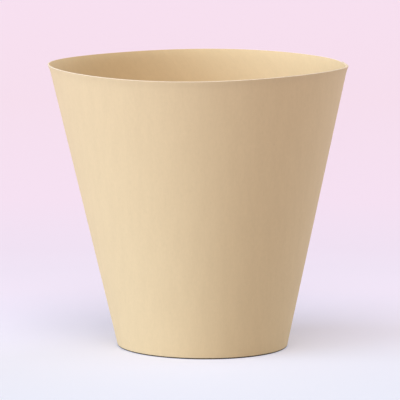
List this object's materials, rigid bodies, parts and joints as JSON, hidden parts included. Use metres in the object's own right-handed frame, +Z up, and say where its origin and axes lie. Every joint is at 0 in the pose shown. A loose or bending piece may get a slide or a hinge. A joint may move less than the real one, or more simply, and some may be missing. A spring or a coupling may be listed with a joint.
{
  "type": "ice cream cone sleeve",
  "caption": "Plain kraft board sleeve rolled into a short open cone with a lapped glue seam; a waffle cone drops in and is held by its taper, and the sleeve stands on its small end.",
  "frame": {"origin": "centre of the standing edge, on the surface that the sleeve stands on", "axes": "+Z up along the cone's axis, from the small standing end to the wide rim; the picture looks along +Y, with +X to its right"},
  "size_m": [0.0643, 0.0642, 0.0611],
  "materials": {
    "kraft_board": "matt, uncoated, with a faint fibre mottle and paler cut edges"
  },
  "bodies": {
    "root": {"sleeve": "kraft_board"}
  },
  "joints": []
}
